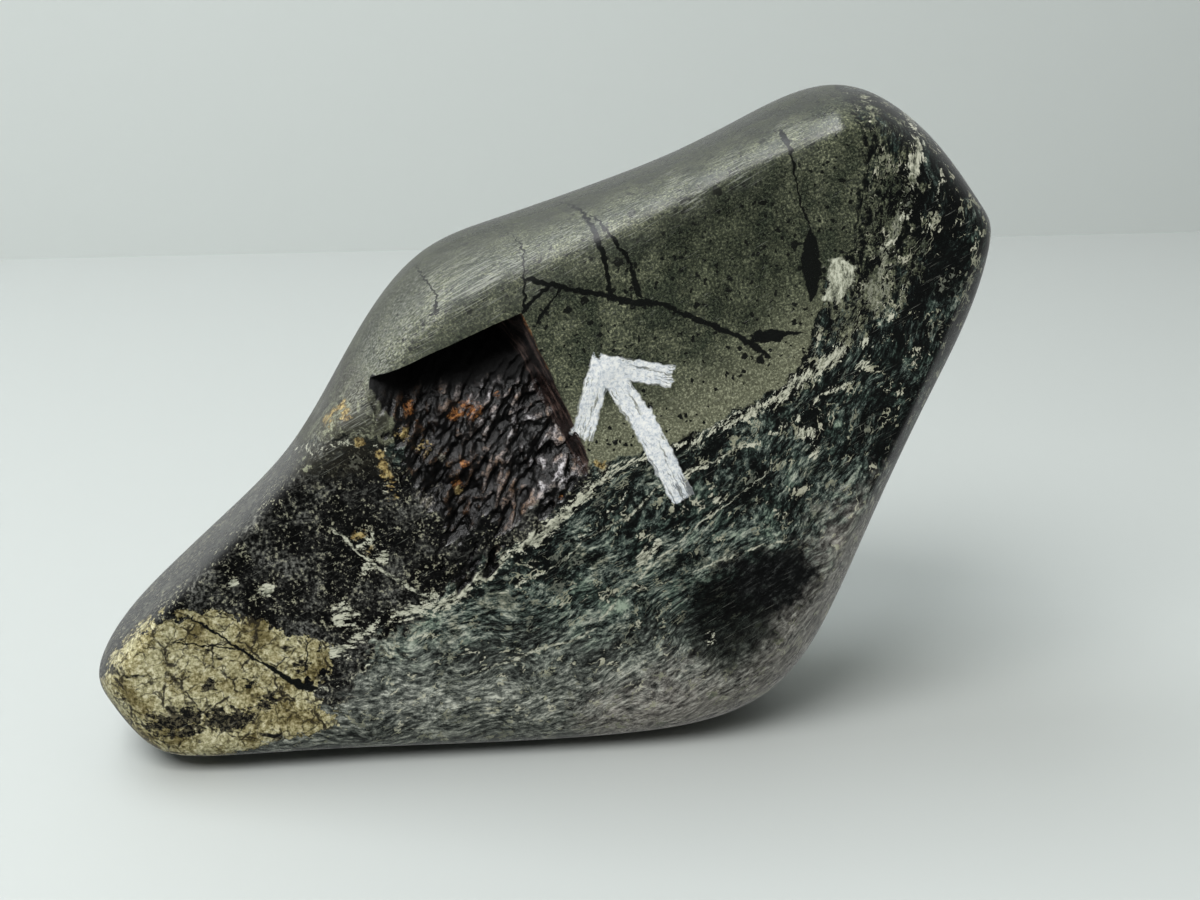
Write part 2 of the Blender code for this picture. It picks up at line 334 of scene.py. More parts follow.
# Where the kinds of rock lie on the face, as outlines (x, z)
zones = {
    "olive": ((3, 34.7), (9.1, 35.4), (12.4, 36.5), (15.2, 37.4), (18.1, 39.2), (21, 40.4), (23.6, 41.7),
              (25.6, 43.9), (26.7, 46.4), (27.6, 49.7), (28.1, 52), (29.6, 55.2), (31.1, 56.4), (31.4, 60),
              (31.9, 64.2), (31, 69.4), (30, 90), (-60, 90), (-60, 38), (-26, 36.9),
              (-21.5, 38.6), (-18, 37.5), (-8, 36)),
    "above": ((-70, 6), (-24, 13.5), (-18.5, 17.8), (-14.4, 19), (-12, 19.2), (-8.5, 21.9), (-5.8, 24.1),
              (-3.7, 25.4), (-1.1, 27.4), (0.5, 28.8), (3.7, 31.8), (6.2, 34.2), (9.1, 34.9), (12.4, 36),
              (15.2, 36.8), (18.1, 38.4), (21, 39.6), (23.6, 40.9), (26, 42.9), (29, 44.6), (31.8, 48.4),
              (34, 54.3), (36.5, 62), (38, 70), (40, 95), (-70, 95)),
    "tan": ((-60, 5), (-47.6, 12.6), (-46.6, 15), (-44.6, 17.2), (-41.3, 18.9), (-37.1, 19.8), (-33.6, 18.7),
            (-29.6, 17.4), (-26, 16), (-23.6, 14.4), (-24, 12.3), (-26.8, 10.3), (-25, 8.2),
            (-23.2, 5.9), (-28, 4.6), (-34, 2.6), (-38.2, 0.5), (-60, -2)),
    "graphite": ((-70, 40), (-26, 36.7), (-21.4, 38.8), (-16.5, 35), (-8, 31), (4.6, 34),
                 (0.6, 29.6), (-3.5, 26.2), (-8.6, 22.6), (-12.2, 20.1), (-14.5, 17.9),
                 (-19.5, 14.5), (-21.5, 9.5), (-26, 6.5), (-70, 8)),
    "black": ((18.2, 22), (21, 24.4), (26.4, 24), (29, 21.5), (27.4, 17.6), (24.4, 16.4), (20, 18)),
    "shadow": ((14, 20.8), (18.8, 22.2), (23.6, 20), (24, 14), (21.5, 10.4), (17.6, 9.8), (14.2, 14)),
    "mottled": ((24, 71), (25.6, 62), (27.8, 57.5), (28.5, 51.3), (30.5, 46.5), (34.5, 48.5), (37, 53.5),
                (37, 60), (35.7, 66.5), (32, 74)),
    "brown": ((2, -20), (4, 6), (12, 9.5), (18.5, 9), (24, 15.5), (31, 27), (60, 40),
              (60, -20)),
    "worn": ((-50, 34), (-46, 50), (-25, 49), (-19.5, 44.6), (-17.6, 41), (-17, 34)),
    "quartz": ((28, 54.4), (29.6, 55.1), (31.6, 54.6), (31.4, 52.8), (30.2, 51.2), (28.5, 51.2)),
}

# Spots of colour on the face: x, z, radius
spots = {
    "rust": ((-8.4, 40.4, 1.3), (-10.3, 39.6, 0.7), (-10.2, 32.4, 0.7), (3.9, 35.3, 0.7), (-14.7, 40.6, 0.8),
             (-5.6, 41.6, 0.5), (-9.3, 34.6, 0.5), (0.6, 31, 0.4)),
    "ochre": ((-17.9, 36.3, 0.5), (-17.7, 35.1, 0.5), (-17.4, 33.9, 0.6), (-17, 32.7, 0.6),
              (-16.8, 31.6, 0.5), (-19.9, 37.8, 0.6), (-10, 31.7, 0.5), (-20.3, 27.4, 0.7),
              (-19, 25.9, 0.6), (-21.5, 41, 0.9),
              (4.6, 34.6, 0.6), (-13.5, 36.5, 0.9), (-15.6, 38.2, 0.8), (-23, 39.6, 0.7)),
    "ash": ((-14.5, 31.7, 0.9), (-13, 30.8, 0.8), (-12.3, 32.2, 0.7), (-13.6, 28.6, 0.6), (-11.6, 35.4, 0.5)),
    "pale": ((-20.4, 35.6, 0.9), (-17.4, 32.5, 0.8), (-19.8, 26.8, 1.2), (-18, 25.3, 1), (-20, 23.6, 0.9),
             (-21.5, 17.8, 1.4), (-22.5, 19, 1.1), (-13.4, 20, 1), (-33.6, 22.4, 0.6), (-30.3, 21.5, 0.9),
             (9.5, 23.6, 1), (11, 25.2, 0.9), (13, 26.6, 0.8), (17.6, 29.6, 0.8), (26.6, 36.8, 1),
             (27.5, 34.8, 1), (33.5, 52, 1.5), (34.2, 49, 1.2), (32.6, 46.2, 1), (17, 13.8, 0.9)),
    # painted shade: the worn dish is darker
    "dim": ((19.5, 56.5, 7), (15, 57, 5), (22, 52, 6.5)),
    "scuffed": ((-20.6, 41, 2.6), (-19, 45, 3), (-16.5, 48.5, 3.4), (-12.5, 51.8, 3.6), (-8, 54, 3.4),
                (-3, 55.9, 3.2), (2.5, 58, 3), (8, 60.4, 2.8), (13.5, 62.8, 2.6), (19, 65.4, 2.4),
                (24.5, 68.2, 2.4), (-24.5, 37.5, 2)),
    "clot": ((-43, 6.6, 1.5), (-40.3, 7, 1.7), (-38.3, 6.6, 1.4), (-35.6, 6.9, 1.5), (-33.6, 7.4, 1.3),
             (-31, 8.6, 1.1), (-37, 11, 1), (-32.6, 11.2, 0.9), (-27.2, 12.6, 0.9)),
}

# Black cracks: each a list of (x, z, half width), read along x, or along z where it is steep
cracks = (
    ("x", ((-3.2, 54.4, 0.05), (-0.4, 53.7, 0.3), (2.3, 52.9, 0.3), (5.9, 52.1, 0.33), (7.9, 51.5, 0.4),
           (10.8, 51.2, 0.33), (13.7, 49.9, 0.3), (17.2, 48.4, 0.32), (19.4, 47.3, 0.36), (21.2, 46.2, 0.4),
           (22.6, 45.1, 0.02))),
    ("x", ((20.4, 47, 0.1), (21.6, 47.4, 0.7), (23.4, 47.4, 0.62), (24.4, 47.6, 0.25), (26.6, 47.5, 0.02))),
    ("z", ((5.9, 52.1, 0.3), (5.4, 55.3, 0.28), (4.6, 57.8, 0.3), (3.9, 60.6, 0.2), (4, 62.7, 0.12),
           (4.4, 64, 0.02))),
    ("z", ((8.8, 52, 0.28), (7.9, 55.2, 0.22), (6.6, 57.4, 0.22), (4.9, 59.6, 0.18), (4.2, 60.6, 0.02))),
    ("z", ((-2.9, 51, 0.24), (-2.9, 53.8, 0.12), (-2.8, 58, 0.09), (-2.7, 60, 0.02))),
    ("x", ((-3.1, 50.9, 0.3), (-2.2, 51.9, 0.32), (-1, 53, 0.3), (0.1, 53.8, 0.2))),
    ("z", ((-1.9, 49.5, 0.02), (-1.2, 50.5, 0.28), (-0.2, 51.8, 0.14), (0.8, 53.1, 0.25))),
    ("z", ((-12.9, 50.2, 0.02), (-11.7, 52, 0.12), (-12.3, 54.4, 0.1), (-12.6, 57, 0.02))),
    ("z", ((26.3, 59, 0.16), (25.4, 61.1, 0.11), (24.6, 64.3, 0.15), (24, 66.6, 0.22), (23.7, 67.8, 0.34),
           (23.6, 68.8, 0.1))),
    ("z", ((26.9, 50.8, 0.02), (26.9, 52.4, 0.7), (26.7, 54.7, 1.05), (26.6, 56.6, 0.8), (26.5, 58.7, 0.1))),
    ("x", ((-38.7, 19, 0.02), (-36, 17.1, 0.2), (-33.3, 14.8, 0.18), (-30, 12.4, 0.28), (-27.6, 10.6, 0.5),
           (-25.4, 9.8, 0.1))),
    ("x", ((-41.5, 16.4, 0.02), (-36.8, 15.5, 0.12), (-32, 14.6, 0.02))),
    ("z", ((-26.7, 11.6, 0.02), (-26.5, 13.8, 0.1), (-26.4, 16.4, 0.02))),
)

# Cream strands that wind through the green rock, in the same way
strands = (
    ("x", ((4.6, 16.6, 0.05), (5.6, 17.7, 0.2), (7.1, 19.6, 0.22), (8.6, 20.9, 0.12), (10.6, 23.2, 0.26),
           (12.9, 25, 0.12), (15.4, 27.4, 0.14), (18, 29.2, 0.07), (21.5, 31.8, 0.08), (24.5, 35, 0.02))),
    ("x", ((-23.6, 28.4, 0.02), (-22, 27.2, 0.26), (-20.2, 25.2, 0.16), (-17, 22.6, 0.28), (-14.4, 20.8, 0.2),
           (-12.4, 19.4, 0.05))),
    ("x", ((14.6, 21.8, 0.02), (17.4, 22.9, 0.12), (20, 23.6, 0.1), (22.8, 24.5, 0.12), (25.6, 24.8, 0.02))),
    ("x", ((-10.5, 10.6, 0.02), (-6, 12, 0.14), (-1.7, 13.6, 0.16), (2.6, 14.8, 0.12), (5.6, 17.2, 0.02))),
    ("x", ((-1, 22.6, 0.02), (1.6, 24.6, 0.14), (4, 26.8, 0.12), (7.6, 28.6, 0.18), (11.8, 32.4, 0.12),
           (17, 34.4, 0.08), (22, 37.8, 0.02))),
)

# How the layers run back through the stone, in millimetres
strata = {
    "front": -13.0,  # they lie as on the face down to this depth
    "slant": (0.10, 0.28), "wander": 0.30, "wanderSize": 26.0,
    "spotReach": 8.0,  # the spots of the face fade over this depth
}

# The arrow: strokes of white paint (x, z) from start to end, with the width
arrow = {
    "strokes": (((5, 45.9), (2.8, 37.5), 2.3), ((4.4, 45.2), (12.2, 43.5), 2.2),
                ((5.4, 44.8), (9.6, 38.2), 2.4), ((8.9, 39.6), (13.6, 30.2), 2.5)),
}


def signedDistance(places, outline):
    # How far each place (x, z) lies inside the outline; outside is negative
    ends = np.array(outline)
    inside = np.zeros(len(places), bool)
    nearest = np.full(len(places), 1e9)
    for a, b in zip(ends, np.roll(ends, -1, axis=0)):
        side = b - a
        share = np.clip(((places - a) @ side) / (side @ side), 0.0, 1.0)
        nearest = np.minimum(nearest, np.linalg.norm(places - a - share[:, None] * side, axis=1))
        spans = (a[1] > places[:, 1]) != (b[1] > places[:, 1])
        cross = a[0] + (places[:, 1] - a[1]) * side[0] / (side[1] if side[1] else 1e-9)
        inside ^= spans & (places[:, 0] < cross)
    return np.where(inside, nearest, -nearest)


def lineDistance(places, a, b):
    side = b - a
    return np.abs((places[:, 0] - a[0]) * side[1] - (places[:, 1] - a[1]) * side[0]) / np.linalg.norm(side)


def mark(mesh, name, values, kind="FLOAT", key="value"):
    # Keeps a value for each vertex, which the rock reads by name
    attribute = mesh.attributes.new(name, kind, "POINT")
    attribute.data.foreach_set(key, values.astype(np.float32).ravel())


def markRock(stone):
    # Lays the rock's layers through the stone: they run back from the face on a slant and wander
    mesh = stone.data
    count = len(mesh.vertices)
    co = np.empty(count * 3, np.float32)
    mesh.vertices.foreach_get("co", co)
    co = co.reshape(-1, 3).astype(float) / mm
    depth = np.maximum(0.0, co[:, 1] - strata["front"])
    wander = np.array([noise.noise_vector(Vector(p) / strata["wanderSize"]) for p in co])
    place = co.copy()
    for axis, slant in zip((0, 2), strata["slant"]):
        place[:, axis] += depth * (slant + strata["wander"] * wander[:, axis])
    mark(mesh, "rockPlace", place, "FLOAT_VECTOR", "vector")
    flat = place[:, [0, 2]]
    for name, outline in zones.items():
        mark(mesh, name, signedDistance(flat, outline))
    sunk = np.zeros(count)
    for face in mesh.polygons:
        if face.material_index == 1:
            for i in face.vertices:
                sunk[i] = max(0.0, co[i, 1] - faceDepth(co[i, 0], co[i, 2]))
            face.material_index = 0
    mesh.materials.pop(index=1)
    crest = np.array([hollowGrain(x, z) if deep > 0 else 0.0 for (x, _, z), deep in zip(co, sunk)])
    left, top, low, _ = (np.array(corner) for corner in hollow["corners"])
    wall = lineDistance(flat, top, low)
    ledge = lineDistance(flat, left, top)
    # painted shadow: how far the black band reaches below the ledge, further towards the right wall
    shade = hollow["shadeRight"] - hollow["shadeSlope"] * wall - ledge
    for name, value in (("sunk", sunk), ("crest", crest), ("wall", wall), ("shade", shade)):
        mark(mesh, name, value)
    for name, marks in spots.items():
        value = np.zeros(count)
        for x, z, radius in marks:
            value += np.exp(-((flat[:, 0] - x) ** 2 + (flat[:, 1] - z) ** 2) / radius**2)
        if name != "scuffed":
            value *= np.exp(-depth / strata["spotReach"])
        mark(mesh, name, np.minimum(value, 1.5))


def linear(tone):
    # An sRGB hex colour as linear red, green, blue and alpha
    values = [int(tone[i:i + 2], 16) / 255 for i in (1, 3, 5)]
    return [v / 12.92 if v <= 0.04045 else ((v + 0.055) / 1.055) ** 2.4 for v in values] + [1.0]


def startTree(owner):
    # Empties the nodes of a material or world; put adds to the one started last
    global tree
    owner.use_nodes = True
    tree = owner.node_tree
    tree.nodes.clear()


def put(kind, inputs, out=0, ramp=None, curve=None, **settings):
    # Adds a node with its settings and links, and gives back one of its outputs. After the kind comes a math
    # node's operation or an attribute's name. Inputs are named or counted: Map Range takes the value, two
    # limits and what they become; Mix takes the share, and then two numbers (2, 3), vectors (4, 5) or
    # colours (6, 7).
    kind, *word = kind.split()
    item = tree.nodes.new("ShaderNode" + kind)
    if word:
        setattr(item, "attribute_name" if kind == "Attribute" else "operation", word[0])
    for name, value in settings.items():
        setattr(item, name, value)
    for key, value in inputs.items():
        if isinstance(value, bpy.types.NodeSocket):
            tree.links.new(value, item.inputs[key])
        else:
            item.inputs[key].default_value = linear(value) if isinstance(value, str) else value
    if ramp:
        ramp = tones[ramp]
        elements = item.color_ramp.elements
        elements[0].position, elements[0].color = ramp[0][0], linear(ramp[0][1])
        elements[1].position, elements[1].color = ramp[-1][0], linear(ramp[-1][1])
        for at, tone in ramp[1:-1]:
            elements.new(at).color = linear(tone)
    if curve:
        points = item.mapping.curves[0].points
        points[0].location, points[1].location = curve[0], curve[-1]
        for at in curve[1:-1]:
            points.new(*at)
        for point in points:
            point.handle_type = "AUTO_CLAMPED"
        item.mapping.update()
    return item.outputs[out] if item.outputs else item


eased = {"interpolation_type": "SMOOTHSTEP"}  # for a Map Range that starts and ends softly

# The rock's colours, from dark to pale along the noise that spreads them
tones = {
    "green": ((0.40, "#040706"), (0.47, "#131a18"), (0.53, "#2f3a35"), (0.58, "#55605a"), (0.65, "#8b9285"),
              (0.72, "#bbbeae")),
    "strand": ((0.40, "#62655a"), (0.50, "#96967f"), (0.60, "#bdbba6")),
    "lower": ((0.37, "#191c1a"), (0.45, "#3c403c"), (0.52, "#62665f"), (0.60, "#92958b"), (0.69, "#cdcec0")),
    "brown": ((0.36, "#34322f"), (0.45, "#66625d"), (0.53, "#8d8881"), (0.65, "#c2bdb4")),
    "black": ((0.44, "#020303"), (0.56, "#0e1010"), (0.68, "#3c3e3c")),
    "graphite": ((0.40, "#0c0c0b"), (0.49, "#2c2c29"), (0.56, "#4d4d48"), (0.66, "#71716b")),
    "graphiteGrain": ((0.42, "#202020"), (0.50, "#a0a0a0"), (0.58, "#ffffff")),
    "tan": ((0.34, "#5f573e"), (0.44, "#969069"), (0.53, "#bab38b"), (0.65, "#dfd9b9")),
    "tanCloud": ((0.38, "#a49b82"), (0.46, "#e2ddcf"), (0.58, "#ffffff")),
    "olive": ((0.30, "#272b24"), (0.44, "#474c42"), (0.54, "#616553"), (0.68, "#a3a58e")),
    "oliveCloud": ((0.38, "#9aa29a"), (0.50, "#c3c5ba"), (0.62, "#f3f3e6")),
    "break": ((0.38, "#010101"), (0.48, "#080606"), (0.58, "#1d1816"), (0.70, "#453c38")),
    "glint": ((0.40, "#262323"), (0.49, "#7c7779"), (0.60, "#d0cccd")),
    "wall": ((0.36, "#0b0707"), (0.50, "#231917"), (0.66, "#57453f")),
    "rust": ((0.38, "#24160c"), (0.49, "#6b4022"), (0.62, "#b87c42")),
    "ochre": ((0.38, "#2c2414"), (0.49, "#77633a"), (0.62, "#bda972")),
    "ash": ((0.40, "#1c1a18"), (0.50, "#6f6a60"), (0.60, "#b4afa0")),
    "cream": ((0.38, "#4b4d41"), (0.47, "#8b8d7b"), (0.58, "#d0cfbb")),
    "quartz": ((0.38, "#4c4f45"), (0.48, "#9a9c88"), (0.60, "#d6d7c3")),
    "paint": ((0.36, "#c0c7cf"), (0.48, "#e4e7ea"), (0.60, "#fafaf7")),
}


# The foliation sweeps in arcs from the lower left up to the right. The shift brings their centre to zero, and
# an angle round it counts as a length at the given radius. Scratches lie along the upper edge.
foliation = {
    "shift": (20.5, -2.0, -69.6), "radius": 60.0, "wobble": (4.0, 4.0, 4.0), "wobbleFineness": 0.13,
    "drawn": (0.40, 0.8, 1.0),
    "scratchTurn": -29.0, "scratchSize": (4.5, 0.11, 0.11),
}


def rockPattern():
    # What the finish reads, in millimetres: the place in the layers, the place along the foliation, and the
    # noises that several kinds of rock share
    place = put("Attribute rockPlace", {}, out="Vector")
    wobble = {"Vector": place, "Scale": foliation["wobbleFineness"], "Detail": 1.0}
    wobble = put("TexNoise", wobble, out="Color")
    bent = put("VectorMath MULTIPLY_ADD", {0: wobble, 1: foliation["wobble"], 2: place})
    fromCentre = put("VectorMath ADD", {0: bent, 1: foliation["shift"]})
    sides = put("SeparateXYZ", {0: fromCentre}).node.outputs
    down = put("Math MULTIPLY", {0: sides["Z"], 1: -1.0})
    angle = put("Math ARCTAN2", {0: sides["X"], 1: down})
    along = put("Math MULTIPLY", {0: angle, 1: foliation["radius"]})
    flat = put("CombineXYZ", {"X": sides["X"], "Z": sides["Z"]})
    across = put("VectorMath LENGTH", {0: flat}, out="Value")
    flow = put("CombineXYZ", {"X": along, "Y": sides["Y"], "Z": across})
    stretched = put("VectorMath MULTIPLY", {0: flow, 1: foliation["drawn"]})
    ragged = put("TexNoise", {"Vector": place, "Scale": 0.55, "Detail": 4.0, "Roughness": 0.66})
    turn = (0.0, math.radians(foliation["scratchTurn"]), 0.0)
    turned = put("Mapping", {0: place, "Rotation": turn, "Scale": foliation["scratchSize"]},
                 vector_type="TEXTURE")
    stray = put("TexNoise", {"Vector": place, "Scale": 1.4, "Detail": 2.0}, out="Color")
    stray = put("VectorMath SUBTRACT", {0: stray, 1: (0.5, 0.5, 0.5)})
    sides = put("SeparateXYZ", {0: place}).node.outputs
    ragged = put("Math SUBTRACT", {0: ragged, 1: 0.5})
    # The painted shadow under the ledge, with a ragged edge
    shade = put("Attribute shade", {}, out="Fac")
    shade = put("Math MULTIPLY_ADD", {0: ragged, 1: 4.0, 2: shade})
    return {
        "shade": put("MapRange", {0: shade, 1: -0.9, 2: 0.7}, **eased),
        "place": place, "side": sides["X"], "front": sides["Y"], "height": sides["Z"], "flow": flow,
        "strayed": put("VectorMath MULTIPLY_ADD", {0: stray, 1: (0.9, 0.9, 0.9), 2: place}),
        "ragged": ragged,
        "scratch": put("TexNoise", {"Vector": turned, "Scale": 1.0, "Detail": 2.0, "Roughness": 0.7}),
        "grain": put("TexNoise", {"Vector": place, "Scale": 2.4, "Detail": 3.0, "Roughness": 0.78}),
        "cloud": put("TexNoise", {"Vector": place, "Scale": 0.30, "Detail": 4.0, "Roughness": 0.62}),
        "drawn": put("TexNoise", {"Vector": stretched, "Scale": 2.2, "Detail": 4.0, "Roughness": 0.80}),
        "bands": put("TexNoise", {"Vector": stretched, "Scale": 0.32, "Detail": 4.0, "Roughness": 0.66}),
    }


def layered(tone, *layers):
    # Lays colours over the first one, each by its mask, as a plain mix or in the way that the layer names
    for above, mask, *how in layers:
        tone = put("Mix", {0: mask, 6: tone, 7: above}, out=2, data_type="RGBA",
                   blend_type=how[0] if how else "MIX")
    return tone


def zoneMask(rock, name, rough, soft):
    # 1 inside a zone, with an edge that strays by some millimetres
    value = put("Attribute " + name, {}, out="Fac")
    value = put("Math MULTIPLY_ADD", {0: rock["ragged"], 1: rough, 2: value})
    return put("MapRange", {0: value, 1: -soft, 2: soft}, **eased)


def veinMask(rock, name, width, rough, outside, low):
    # 1 on a vein that follows the edge of a zone, some way outside it; it thins and swells along its way
    value = put("Attribute " + name, {}, out="Fac")
    value = put("Math MULTIPLY_ADD", {0: rock["ragged"], 1: rough, 2: value})
    value = put("Math ADD", {0: value, 1: outside})
    value = put("Math ABSOLUTE", {0: value})
    swell = put("MapRange", {0: rock["cloud"], 1: low, 2: 0.64, 3: -0.1, 4: width})
    rest = put("Math SUBTRACT", {0: swell, 1: value})
    frayed = put("MapRange", {0: rock["drawn"], 1: 0.3, 2: 0.7, 3: -1.4 * width, 4: 0.9 * width})
    rest = put("Math ADD", {0: rest, 1: frayed})
    return put("MapRange", {0: rest, 1: -0.05, 2: 0.06}, **eased)


def spotMask(rock, name, low, high, rough):
    # 1 in the middle of a spot, with a ragged rim
    value = put("Attribute " + name, {}, out="Fac")
    uneven = put("Math MULTIPLY_ADD", {0: rock["drawn"], 1: rough, 2: 1.0 - 0.5 * rough})
    uneven = put("Math MULTIPLY_ADD", {0: rock["ragged"], 1: rough, 2: uneven})
    value = put("Math MULTIPLY", {0: value, 1: uneven})
    return put("MapRange", {0: value, 1: low, 2: high}, **eased)


def lineMask(rock, line):
    # 1 on a drawn crack or strand, read from its place and half width along x or z
    axis, points = line
    run = [point[1] if axis == "z" else point[0] for point in points]
    rise = [point[0] if axis == "z" else point[1] for point in points]
    low, high = min(run), max(run)
    least, most = min(rise) - 0.5, max(rise) + 0.5
    wide = max(point[2] for point in points)
    sides = put("SeparateXYZ", {0: rock["strayed"]}).node.outputs
    here, there = (sides["Z"], sides["X"]) if axis == "z" else (sides["X"], sides["Z"])
    share = put("MapRange", {0: here, 1: low, 2: high})
    line = [((a - low) / (high - low), (b - least) / (most - least)) for a, b in zip(run, rise)]
    width = [((a - low) / (high - low), point[2] / wide) for a, point in zip(run, points)]
    line = put("FloatCurve", {"Value": share}, curve=line)
    line = put("MapRange", {0: line, 3: least, 4: most})
    width = put("FloatCurve", {"Value": share}, curve=width)
    aside = put("Math SUBTRACT", {0: there, 1: line})
    aside = put("Math ABSOLUTE", {0: aside})
    rest = put("Math MULTIPLY", {0: width, 1: wide})
    rest = put("Math SUBTRACT", {0: rest, 1: aside})
    mask = put("MapRange", {0: rest, 1: -0.05, 2: 0.07}, **eased)
    before = put("Math GREATER_THAN", {0: here, 1: low - 0.1})
    after = put("Math LESS_THAN", {0: here, 1: high + 0.1})
    mask = put("Math MULTIPLY", {0: mask, 1: before})
    return put("Math MULTIPLY", {0: mask, 1: after})


def greenBand(rock):
    # Sheared dark green rock: black-green ground with pale flecks drawn out along the foliation,
    # darkest under the olive rock at the upper right
    bands = put("MapRange", {0: rock["bands"], 1: 0.3, 2: 0.7, 3: -0.17, 4: 0.15})
    rise = put("MapRange", {0: rock["height"], 1: 14.0, 2: 56.0, 3: 0.046, 4: -0.085})
    level = put("Math ADD", {0: bands, 1: rise})
    level = put("Math ADD", {0: rock["drawn"], 1: level})
    tone = put("ValToRGB", {0: level}, ramp="green")
    green = put("MapRange", {0: rock["cloud"], 1: 0.47, 2: 0.60, 4: 0.8})
    warm = put("MapRange", {0: rock["cloud"], 1: 0.44, 2: 0.36, 4: 0.7})
    return layered(tone, ("#cfe4da", green, "MULTIPLY"), ("#ddd3c4", warm, "MULTIPLY"))


def strandMask(rock):
    # Thin pale strands that wind along the foliation, long ones and finer ones between them
    shift = put("VectorMath SUBTRACT", {0: rock["strayed"], 1: rock["place"]})
    wound = put("VectorMath ADD", {0: rock["flow"], 1: shift})
    wound = put("VectorMath MULTIPLY", {0: wound, 1: (0.40, 0.7, 1.0)})
    strand = None
    for size, detail, least, most in ((0.34, 3.0, -0.008, 0.018), (0.95, 2.0, -0.016, 0.034)):
        wave = put("TexNoise", {"Vector": wound, "Scale": size, "Detail": detail, "Roughness": 0.55})
        wave = put("Math SUBTRACT", {0: wave, 1: 0.5})
        wave = put("Math ABSOLUTE", {0: wave})
        width = put("MapRange", {0: rock["ragged"], 1: -0.06, 2: 0.14, 3: least, 4: most})
        wave = put("Math SUBTRACT", {0: width, 1: wave})
        wave = put("MapRange", {0: wave, 1: -0.003, 2: 0.006}, **eased)
        strand = wave if strand is None else put("Math MAXIMUM", {0: strand, 1: wave})
    return strand


def lowerBand(rock):
    # The same rock near the foot: paler, closer and greyer
    soft = put("MapRange", {0: rock["bands"], 1: 0.3, 2: 0.7, 3: -0.08, 4: 0.08})
    grain = put("Math ADD", {0: rock["drawn"], 1: soft})
    return put("ValToRGB", {0: grain}, ramp="lower")


def graphiteRock(rock):
    # Near-black rock with soft grey clouds and broken pale flecks
    cloud = put("ValToRGB", {0: rock["cloud"]}, ramp="graphite")
    shade = put("ValToRGB", {0: rock["grain"]}, ramp="graphiteGrain")
    bright = put("Math MULTIPLY_ADD", {0: rock["ragged"], 1: 0.45, 2: rock["grain"]})
    bright = put("MapRange", {0: bright, 1: 0.58, 2: 0.66}, **eased)
    return layered(cloud, (shade, 1.0, "MULTIPLY"), ("#97957f", bright))


def tanRock(rock):
    # Ochre-tan rock, crossed by hair-thin dark lines, with dark clots along its foot
    tone = put("ValToRGB", {0: rock["grain"]}, ramp="tan")
    cloud = put("ValToRGB", {0: rock["cloud"]}, ramp="tanCloud")
    tone = layered(tone, (cloud, 1.0, "MULTIPLY"))
    for size, strength, width in ((0.24, 0.95, 0.035), (0.60, 0.80, 0.055)):
        edge = put("TexVoronoi", {"Vector": rock["strayed"], "Scale": size}, feature="DISTANCE_TO_EDGE")
        hair = put("MapRange", {0: edge, 1: 0.4 * width, 2: width, 3: strength, 4: 0.0})
        broken = put("MapRange", {0: rock["ragged"], 1: -0.10, 2: 0.02}, **eased)
        hair = put("Math MULTIPLY", {0: hair, 1: broken})
        tone = layered(tone, ("#29241a", hair))
    worn = put("MapRange", {0: rock["bands"], 1: 0.58, 2: 0.64}, **eased)
    specks = put("MapRange", {0: rock["grain"], 1: 0.48, 2: 0.60}, **eased)
    dark = layered("#0e0e0c", ("#5a5440", specks))
    return layered(tone, (dark, worn), (dark, spotMask(rock, "clot", 0.42, 0.52, 5.5)))


def oliveRock(rock):
    # Fine olive-grey rock: salt-fine grain, soft clouds, small black specks, warmer near its border, and
    # painted shade in the worn dish and towards the back, where it dims the top of the roll
    grain = put("TexNoise", {"Vector": rock["place"], "Scale": 4.2, "Detail": 2.0, "Roughness": 0.8})
    tone = put("ValToRGB", {0: grain}, ramp="olive")
    cloud = put("ValToRGB", {0: rock["cloud"]}, ramp="oliveCloud")
    inward = put("Attribute olive", {}, out="Fac")
    inward = put("Math MULTIPLY_ADD", {0: rock["ragged"], 1: 6.0, 2: inward})
    warm = put("MapRange", {0: inward, 1: 9.0, 2: 0.5, 4: 0.9}, **eased)
    below = put("MapRange", {0: rock["height"], 1: 55.0, 2: 46.0}, **eased)
    warm = put("Math MULTIPLY", {0: warm, 1: below})
    pale = layered(tone, ("#4c4936", 1.0, "ADD"))
    # painted shade: darker in the worn dish
    dim = put("Attribute dim", {}, out="Fac")
    dim = put("MapRange", {0: dim, 1: 0.0, 2: 1.3, 4: 0.5})
    # painted shade: the olive darker towards the back, which dims the top of the roll
    back = put("MapRange", {0: rock["front"], 1: -14.2, 2: -7.0, 4: 1.0})
    tone = layered(tone, (cloud, 1.0, "MULTIPLY"), (pale, warm), ("#a8b1a9", dim, "MULTIPLY"),
                   ("#999e96", back, "MULTIPLY"))
    for size, share, radius in ((1.6, 0.42, 0.44), (0.60, 0.62, 0.36)):
        cell = put("TexVoronoi", {"Vector": rock["strayed"], "Scale": size})
        chance = put("SeparateXYZ", {0: cell.node.outputs["Color"]})
        swell = put("MapRange", {0: chance, 1: share, 2: 1.0, 4: radius})
        speck = put("Math SUBTRACT", {0: swell, 1: cell})
        speck = put("MapRange", {0: speck, 1: -0.02, 2: 0.05}, **eased)
        tone = layered(tone, ("#10130e", speck))
    return tone


